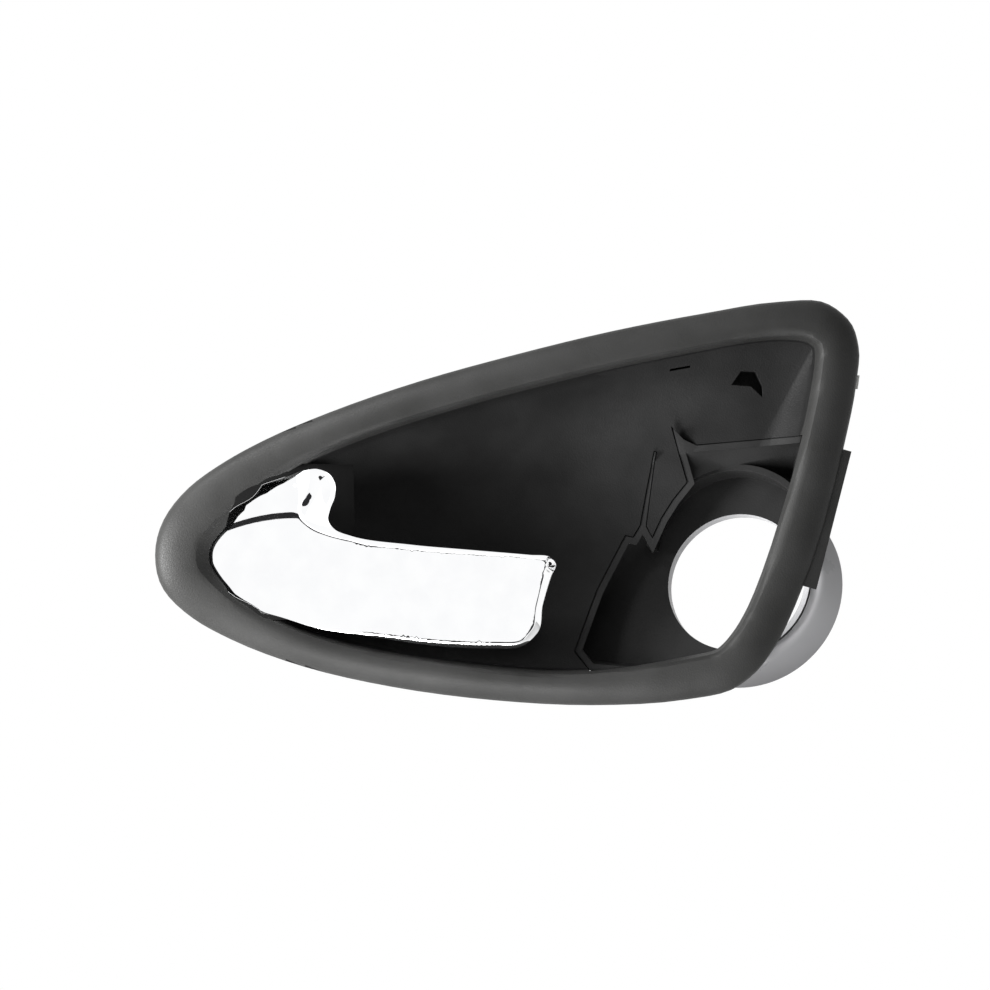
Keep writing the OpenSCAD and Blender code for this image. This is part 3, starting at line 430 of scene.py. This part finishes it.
# The rim turns back from the front in rings, each inset from the edge and set behind the front,
# or at the rear where it gives no depth. Past REAR_FROM across, the rear comes forward by REAR_RISE
# over the next REAR_OVER.
SKIN = 1.4
RIM = ((0.06, 0.14), (0.0, 0.35), (0.0, 0.9), (0.02, 2.0), (0.3, None), (SKIN, None))
REAR = 3.5
REAR_RISE = 1.5
REAR_FROM = 15
REAR_OVER = 25
REAR_GAP = 0.2
BACK_INSET = SKIN + 0.1
BACK_DEPTH = SKIN + 1.5
BACK_LIMIT = 1.0


def chord_curve(anchors, steps, closed):
    """Smooth curve through anchors, with tangents weighted by chord length."""
    p = np.array(anchors, float)
    ahead = np.roll(p, -1, 0)
    behind = np.roll(p, 1, 0)
    chord = np.linalg.norm((ahead - p)[:, :2], axis=1)[:, None]
    before = np.roll(chord, 1, 0)
    tangent = ((ahead - p) / chord * before + (p - behind) / before * chord) / (before + chord)
    if not closed:
        tangent[0] = (p[1] - p[0]) / chord[0]
        tangent[-1] = (p[-1] - p[-2]) / chord[-2]
    leaving = tangent * chord
    arriving = np.roll(tangent, -1, 0) * chord
    out = []
    for k in range(steps):
        t = k / steps
        out.append(p * (2 * t ** 3 - 3 * t ** 2 + 1) + leaving * (t ** 3 - 2 * t ** 2 + t)
                   + ahead * (3 * t ** 2 - 2 * t ** 3) + arriving * (t ** 3 - t ** 2))
    out = np.stack(out, 1).reshape(-1, p.shape[1])
    return out if closed else np.concatenate((out[:-steps], p[-1:]))


def soft_ramp(value, softness):
    """The value where it is positive and nought elsewhere, with a soft turn."""
    return (value + np.sqrt(value * value + softness * softness)) / 2


def nearest(points, line, closed):
    """Signed distance of points from a line, positive on its right, and the line's values there."""
    a = line if closed else line[:-1]
    b = np.roll(line, -1, 0) if closed else line[1:]
    along = b[:, :2] - a[:, :2]
    length = (along ** 2).sum(1)
    best = np.full(len(points), np.inf)
    side = np.ones(len(points))
    values = np.zeros((len(points), line.shape[1] - 2))
    for i in range(len(a)):
        off = points - a[i, :2]
        t = np.clip(off @ along[i] / length[i], 0, 1)
        away = off - t[:, None] * along[i]
        gap = np.hypot(away[:, 0], away[:, 1])
        hit = gap < best - TINY
        best[hit] = gap[hit]
        side[hit] = np.where(along[i, 1] * away[hit, 0] - along[i, 0] * away[hit, 1] >= 0, 1, -1)
        values[hit] = a[i, 2:] + t[hit, None] * (b[i, 2:] - a[i, 2:])
    return best * side, values


def to_the_right(step):
    """Unit vectors square to the steps along a line, towards its right."""
    step = step / np.linalg.norm(step, axis=1)[:, None]
    return np.column_stack((step[:, 1], -step[:, 0]))


curve = chord_curve(OUTLINE, EDGE_STEPS, True)
EDGE = np.column_stack((curve[:, 0] * np.where(curve[:, 0] < 0, NOSE, REACH),
                        curve[:, 1] * HEIGHT, curve[:, 2:]))
EDGE_INWARD = to_the_right(np.roll(EDGE[:, :2], -1, 0) - np.roll(EDGE[:, :2], 1, 0))
BROW_LINE = chord_curve(BROW, BROW_STEPS, False)
CHEEK_LINE = chord_curve(CHEEK, CHEEK_STEPS, False)


def lever_face(x, z):
    """Depth of the pull's front face."""
    along = np.minimum(x, RIDGE_END)
    above = z - RIDGE[0] - RIDGE[1] * along - RIDGE[2] * along ** 2
    tip = np.maximum(0, (x - FACE_MID) / (REACH - FACE_MID))
    return (NOSE_FALL * soft_ramp(FACE_MID - x, NOSE_SOFT) + TIP_DROP * tip ** 2 - PROUD
            + (z + BOW_Z) ** 2 / (2 * BOW_RADIUS) + RIDGE_FALL * soft_ramp(above, RIDGE_SOFT))


def front(points):
    """Depth of the skin at points across and up: the face, its edge bevel and the horn's scoop."""
    inside, bevel = nearest(points, EDGE, True)
    over, brow = nearest(points, BROW_LINE, False)
    beside, cheek = nearest(points, CHEEK_LINE, False)
    rim = bevel[:, 0] * soft_ramp(bevel[:, 1] - inside, EDGE_SOFT)
    over = soft_ramp(over, brow[:, 1]) * brow[:, 0]
    beside = soft_ramp(beside, cheek[:, 1]) * cheek[:, 0]
    scoop = (SCOOP * (1 - np.exp(-over / SCOOP)) + SCOOP_FALL * over) * (1 - np.exp(-beside / SCOOP))
    edge = (rim + scoop + np.sqrt((rim - scoop) ** 2 + BLEND ** 2)) / 2
    return lever_face(points[:, 0], points[:, 1]) + edge


def inset(distance):
    """The outline moved inward."""
    return EDGE[:, :2] + EDGE_INWARD * distance


def finer_points():
    """Points along the edge and the creases, where the front turns quickly."""
    lines = []
    for gap in EDGE_GAPS:
        line = inset(gap)
        away, _ = nearest(line, EDGE, True)
        lines.append(line[away >= gap - GAP_SLACK])
    for crease, stretch in ((BROW_LINE, BROW_STRETCH), (CHEEK_LINE, CHEEK_STRETCH)):
        across = to_the_right(np.gradient(crease[:, :2], axis=0))
        lines += [(crease[:, :2] + across * gap)[stretch] for gap in CREASE_GAPS]
    return np.concatenate(lines)


def sheet(border, extra, spacing, margin):
    """Triangles that fill a border, with extra points and an even grid inside it.

    Gives the points, the triangles, and the index of each of the border's points."""
    low, high = border.min(0), border.max(0)
    rows = np.arange(low[1], high[1], spacing * ROW_HEIGHT)
    columns = np.arange(low[0], high[0], spacing)
    grid = np.array([(x + (k % 2) * spacing / 2, z) for k, z in enumerate(rows) for x in columns])
    loose = np.concatenate((extra, grid))
    away, _ = nearest(loose, border, True)
    keep = away > margin
    apart = np.array([np.hypot(*(extra - q).T).min(initial=np.inf) for q in grid])
    keep[len(extra):] &= apart > spacing * GRID_APART
    points = np.concatenate((border, loose[keep]))
    count = len(border)
    edges = [(i, (i + 1) % count) for i in range(count)]
    found = delaunay_2d_cdt([Vector(q) for q in points], edges, [], 1, SAME_POINT)
    where = np.array([v[:] for v in found[0]])
    index = {old: new for new, olds in enumerate(found[3]) for old in olds}
    return where, [tuple(face) for face in found[2]], [index[i] for i in range(count)]


def strips(rings):
    """Quads between each ring of points and the next."""
    return [(a[i - 1], a[i], b[i], b[i - 1]) for a, b in zip(rings, rings[1:]) for i in range(len(a))]


def skin_mesh(flat, faces, border):
    """Points and faces of the closed skin: its front, the rings of its rim, and its back."""
    depth = front(flat)
    edge_depth = front(inset(FRONT_BORDER))
    rear = REAR - REAR_RISE * np.clip((EDGE[:, 0] - REAR_FROM) / REAR_OVER, 0, 1)
    points = [np.column_stack((flat[:, 0], depth, flat[:, 1]))]
    rings = [border]
    total = len(flat)
    for inward, behind in RIM:
        line = inset(inward)
        y = rear if behind is None else np.minimum(edge_depth + behind, rear - REAR_GAP)
        points.append(np.column_stack((line[:, 0], y, line[:, 1])))
        rings.append(list(range(total, total + len(line))))
        total += len(line)
    back, back_faces, back_border = sheet(inset(BACK_INSET), np.empty((0, 2)), BACK_SPACING, BACK_MARGIN)
    inner = np.minimum(lever_face(back[:, 0], back[:, 1]) + BACK_DEPTH, BACK_LIMIT)
    points.append(np.column_stack((back[:, 0], inner, back[:, 1])))
    rings.append([total + i for i in back_border])
    turned = [tuple(total + i for i in reversed(face)) for face in back_faces]
    return np.concatenate(points), faces + strips(rings) + turned


def exact_front_normals(mesh, flat):
    """Takes the front's normals straight from its depth, so that reflections run smoothly over it."""
    across, up = (SLOPE_STEP, 0), (0, SLOPE_STEP)
    slope_x = (front(flat + across) - front(flat - across)) / (2 * SLOPE_STEP)
    slope_z = (front(flat + up) - front(flat - up)) / (2 * SLOPE_STEP)
    exact = np.column_stack((slope_x, -np.ones(len(flat)), slope_z))
    exact /= np.linalg.norm(exact, axis=1)[:, None]
    normals = np.empty(len(mesh.loops) * 3)
    mesh.corner_normals.foreach_get("vector", normals)
    normals = normals.reshape(-1, 3)
    corner = np.empty(len(mesh.loops), np.int64)
    mesh.loops.foreach_get("vertex_index", corner)
    on_front = corner < len(flat)
    normals[on_front] = exact[corner[on_front]]
    mesh.normals_split_custom_set(normals.tolist())


def lever_skin():
    """Builds the skin, which replaces the CAD lever and rides on its body."""
    flat, faces, border = sheet(inset(FRONT_BORDER), finer_points(), FRONT_SPACING, FRONT_MARGIN)
    points, faces = skin_mesh(flat, faces, border)
    mesh = bpy.data.meshes.new("lever_skin")
    mesh.from_pydata([tuple(v) for v in points * MM + (HINGE.x, 0, HINGE.z)], [], faces)
    obj = bpy.data.objects.new("lever_skin", mesh)
    bpy.context.scene.collection.objects.link(obj)
    dress(obj, chrome)
    smooth_by_angle(obj, SKIN_SMOOTH_LIMIT)
    exact_front_normals(mesh, flat)
    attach(obj, "lever")
    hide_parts("lever")


lever_skin()

# Studio, in metres: a pale floor, a white world, dark flags that the chrome mirrors, and soft lamps
CAMERA_DISTANCE = 1.0
VIEW_X = -0.0217
VIEW_Z = 0.0631
VIEW_WIDTH = 0.3307
SENSOR_MM = 36.0
FLOOR_Z = -0.26
FLOOR_SIZE = 1.2
FLOOR_COLOUR = (0.82, 0.82, 0.82, 1)
FLAG_COLOUR = (0.1, 0.1, 0.105, 1)
FLAG_AWAY = 4.0
FLAG_FROM = (-0.06, 0.04)
WHITE = (1, 1, 1, 1)
WORLD_LIGHT = 0.24

# Two tangents across and two up, of the directions in which the lever sees the flag
FLAGS = {
    "flag_above": ((-0.6, 0.15), (0.155, 0.29)),
    "flag_right": ((0.15, 0.3), (-0.32, 0.4)),
    "flag_horn": ((0.3, 1.3), (0.05, 0.24)),
    "flag_below": ((-0.2, 0.15), (-0.32, -0.2))}
# Place, target, size and watts of each lamp
LAMPS = {
    "key_left": ((-0.62, -0.22, 0.0), (-0.05, 0, 0.05), 0.3, 13.0),
    "key_below": ((-0.07, -0.17, -0.235), (-0.03, 0, 0.0), 0.24, 2.1),
    "key_above": ((-0.35, -0.16, 0.5), (-0.05, 0, 0.08), 0.3, 4.0),
    "fill_front": ((0.1, -0.8, 0.5), (0, 0, 0.05), 0.6, 0.8)}


def matt_finish(name, colour, rough, specular):
    """Plain matt material of the studio."""
    material, tree, shader = new_material(name)
    shader.inputs["Base Color"].default_value = colour
    shader.inputs["Roughness"].default_value = rough
    shader.inputs["Specular IOR Level"].default_value = specular
    return material


def floor():
    """Pale floor under the part."""
    bpy.ops.mesh.primitive_plane_add(size=FLOOR_SIZE, location=(0, 0, FLOOR_Z))
    obj = bpy.context.object
    obj.name = "floor"
    obj.data.materials.append(matt_finish("pale_floor", FLOOR_COLOUR, 0.8, 0.5))


def world():
    """World that lights the part softly, and is plain white where it is seen or mirrored."""
    studio = bpy.data.worlds.new("studio")
    bpy.context.scene.world = studio
    studio.use_nodes = True
    tree = studio.node_tree
    light = tree.nodes["Background"]
    light.inputs["Color"].default_value = WHITE
    light.inputs["Strength"].default_value = WORLD_LIGHT
    seen = tree.nodes.new("ShaderNodeBackground")
    seen.inputs["Color"].default_value = WHITE
    seen.inputs["Strength"].default_value = 1.0
    path = tree.nodes.new("ShaderNodeLightPath")
    either = tree.nodes.new("ShaderNodeMath")
    either.operation = "MAXIMUM"
    tree.links.new(path.outputs["Is Camera Ray"], either.inputs[0])
    tree.links.new(path.outputs["Is Glossy Ray"], either.inputs[1])
    mix = tree.nodes.new("ShaderNodeMixShader")
    tree.links.new(either.outputs[0], mix.inputs["Fac"])
    tree.links.new(light.outputs[0], mix.inputs[1])
    tree.links.new(seen.outputs[0], mix.inputs[2])
    tree.links.new(mix.outputs[0], tree.nodes["World Output"].inputs["Surface"])


def flag(name, across, up):
    """Dark flag behind the camera."""
    tangents = ((across[0], up[0]), (across[1], up[0]), (across[1], up[1]), (across[0], up[1]))
    mesh = bpy.data.meshes.new(name)
    mesh.from_pydata([(FLAG_FROM[0] + FLAG_AWAY * a, -FLAG_AWAY, FLAG_FROM[1] + FLAG_AWAY * e)
                      for a, e in tangents], [], [(0, 1, 2, 3)])
    mesh.materials.append(matt_finish(name, FLAG_COLOUR, 0.9, 0.0))
    obj = bpy.data.objects.new(name, mesh)
    bpy.context.scene.collection.objects.link(obj)
    obj.visible_camera = False


def lamp(name, place, target, size, watts):
    """Round soft lamp that points at its target."""
    data = bpy.data.lights.new(name, "AREA")
    data.shape = "DISK"
    data.size = size
    data.energy = watts
    obj = bpy.data.objects.new(name, data)
    bpy.context.scene.collection.objects.link(obj)
    obj.location = place
    obj.rotation_euler = (Vector(target) - Vector(place)).to_track_quat("-Z", "Y").to_euler()


def camera():
    """Camera level with the middle of the photograph, looking straight at the front."""
    data = bpy.data.cameras.new("camera")
    data.sensor_width = SENSOR_MM
    data.lens = SENSOR_MM * CAMERA_DISTANCE / VIEW_WIDTH
    obj = bpy.data.objects.new("camera", data)
    bpy.context.scene.collection.objects.link(obj)
    obj.location = (VIEW_X, -CAMERA_DISTANCE, VIEW_Z)
    obj.rotation_euler = (math.radians(90), 0, 0)
    bpy.context.scene.camera = obj


floor()
world()
camera()
for name, (across, up) in FLAGS.items():
    flag(name, across, up)
for name, (place, target, size, watts) in LAMPS.items():
    lamp(name, place, target, size, watts)
bpy.context.scene.view_settings.view_transform = "Standard"
